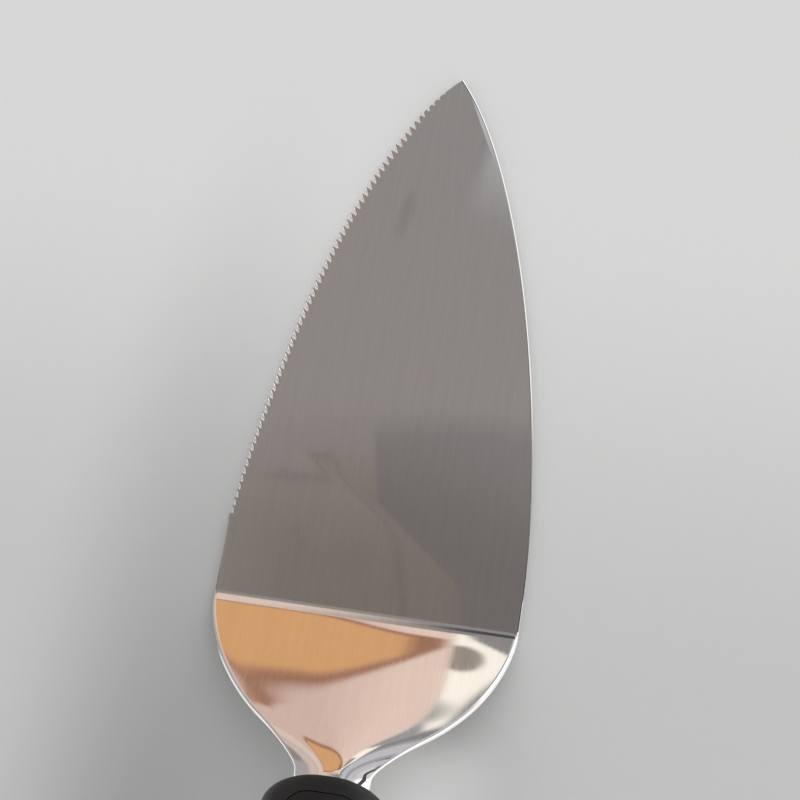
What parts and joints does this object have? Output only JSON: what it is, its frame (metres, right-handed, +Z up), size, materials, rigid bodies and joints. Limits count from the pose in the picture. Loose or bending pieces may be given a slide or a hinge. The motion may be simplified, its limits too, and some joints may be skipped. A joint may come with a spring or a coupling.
{
  "type": "cake lifter",
  "caption": "Cake lifter: leaf-shaped steel blade with a scalloped cutting edge on its left, a rising shoulder and an oval black grip.",
  "frame": {"origin": "on the blade's flat underside, on its centre line, halfway from the crease to the point", "axes": "+Z up from the surface the blade lies on, +Y towards the blade's point, -Y along the handle, scalloped edge at -X"},
  "size_m": [0.06, 0.2671, 0.0454],
  "materials": {
    "steel_sheet": "finely brushed stainless steel with a soft mirror sheen",
    "handle_plastic": "matte moulded black plastic",
    "pad_rubber": "soft matte black rubber",
    "core_plastic": "grey moulded plastic, hidden",
    "pin_steel": "bright drawn steel, hidden"
  },
  "bodies": {
    "root": {"blade": "steel_sheet", "handle_body": "handle_plastic", "grip_pad": "pad_rubber", "tang_core": "core_plastic", "tang_pin_front": "pin_steel", "tang_pin_rear": "pin_steel", "end_cap": "handle_plastic"}
  },
  "joints": []
}
